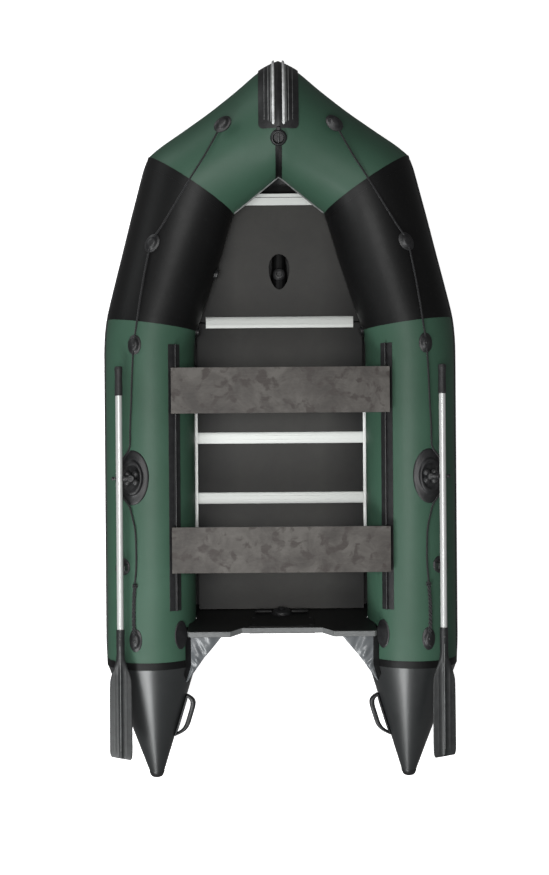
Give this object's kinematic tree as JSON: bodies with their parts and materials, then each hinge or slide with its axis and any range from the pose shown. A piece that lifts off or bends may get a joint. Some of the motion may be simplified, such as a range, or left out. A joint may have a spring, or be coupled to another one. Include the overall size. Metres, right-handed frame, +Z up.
{
  "type": "inflatable dinghy",
  "caption": "Open inflatable boat with V bow, cone-ended tubes, panelled wood floor, wooden motor transom, sliding bench seats, oars in swivelling rowlocks and a lifeline.",
  "frame": {"origin": "centre of the bounding box in plan, at the lowest point of the tubes", "axes": "+Y towards the bow along the hull, +X to starboard, +Z up"},
  "size_m": [1.6504, 3.3004, 0.6223],
  "materials": {
    "green_skin": "coated fabric, satin",
    "black_skin": "coated fabric, satin",
    "grey_skin": "coated fabric, glossy",
    "inner_skin": "coated fabric, matt",
    "black_rubber": "moulded, semi-matt",
    "black_plastic": "moulded, satin",
    "aluminium": "anodised, satin",
    "seat_plywood": "film-faced plywood, satin",
    "floor_plywood": "film-faced plywood, matt",
    "transom_plywood": "film-faced plywood, painted",
    "rope": "braided cord"
  },
  "bodies": {
    "hull": {"bottom_panel": "black_skin", "bow_bottom_panel": "black_skin", "bow_eye": "black_rubber", "bow_patch": "black_rubber", "bow_tube_left": "green_skin", "bow_tube_right": "green_skin", "bulkhead_left": "inner_skin", "bulkhead_right": "inner_skin", "drain_valve": "black_plastic", "floor_board_aft": "floor_plywood", "floor_board_bow": "floor_plywood", "floor_board_forward": "floor_plywood", "floor_board_middle": "floor_plywood", "floor_profile_aft": "aluminium", "floor_profile_bow": "aluminium", "floor_profile_forward": "aluminium", "floor_profile_middle": "aluminium", "floor_stringer_left": "aluminium", "floor_stringer_right": "aluminium", "forward_tube_left": "black_skin", "forward_tube_right": "black_skin", "keel_guard": "black_rubber", "keel_tube": "black_skin", "keel_valve": "black_plastic", "lifeline_left": "rope", "lifeline_right": "rope", "motor_plate_inner": "black_plastic", "motor_plate_outer": "black_plastic", "oar_clip_left": "black_rubber", "oar_clip_right": "black_rubber", "rowlock_pad_left": "black_rubber", "rowlock_pad_right": "black_rubber", "rub_strake_left": "black_rubber", "rub_strake_right": "black_rubber", "seat_rail_left": "black_rubber", "seat_rail_right": "black_rubber", "side_tube_left": "green_skin", "side_tube_right": "green_skin", "stern_cone_left": "black_skin", "stern_cone_right": "black_skin", "stern_handle_left": "black_rubber", "stern_handle_right": "black_rubber", "transom_board": "transom_plywood", "transom_gusset_left": "grey_skin", "transom_gusset_right": "grey_skin", "transom_holder_left": "black_rubber", "transom_holder_right": "black_rubber"},
    "front_seat": {"front_seat": "seat_plywood"},
    "rear_seat": {"rear_seat": "seat_plywood"},
    "drain_plug": {"drain_plug": "black_plastic"},
    "keel_valve_cap": {"keel_valve_cap": "black_plastic"},
    "swivel_left": {"rowlock_swivel_left": "black_plastic"},
    "oar_left": {"oar_shaft_left": "aluminium", "oar_grip_left": "black_rubber", "oar_blade_left": "black_plastic"},
    "swivel_right": {"rowlock_swivel_right": "black_plastic"},
    "oar_right": {"oar_shaft_right": "aluminium", "oar_grip_right": "black_rubber", "oar_blade_right": "black_plastic"}
  },
  "joints": [
    {"name": "front_seat_slide", "type": "slide", "parent": "hull", "child": "front_seat", "axis": [0, 1, 0], "range_m": [-0.2, 0.1]},
    {"name": "rear_seat_slide", "type": "slide", "parent": "hull", "child": "rear_seat", "axis": [0, 1, 0], "range_m": [-0.15, 0.2]},
    {"name": "drain_plug_pull", "type": "slide", "parent": "hull", "child": "drain_plug", "axis": [0, 0.986, 0.1668], "range_m": [0, 0.03]},
    {"name": "keel_valve_cap_turn", "type": "hinge", "parent": "hull", "child": "keel_valve_cap", "pos_m": [0, 0.7145, 0.0935], "axis": [0, 0, 1], "range_deg": [0, 90]},
    {"name": "rowlock_swivel_left", "type": "hinge", "parent": "hull", "child": "swivel_left", "pos_m": [-0.677, -0.2465, 0.457], "axis": [0, 0, -1], "range_deg": [0, 110]},
    {"name": "oar_dip_left", "type": "hinge", "parent": "swivel_left", "child": "oar_left", "pos_m": [-0.73, -0.2465, 0.457], "axis": [1, 0, 0], "range_deg": [-6, 0]},
    {"name": "rowlock_swivel_right", "type": "hinge", "parent": "hull", "child": "swivel_right", "pos_m": [0.677, -0.2465, 0.457], "axis": [0, 0, 1], "range_deg": [0, 110]},
    {"name": "oar_dip_right", "type": "hinge", "parent": "swivel_right", "child": "oar_right", "pos_m": [0.73, -0.2465, 0.457], "axis": [1, 0, 0], "range_deg": [-6, 0]}
  ]
}
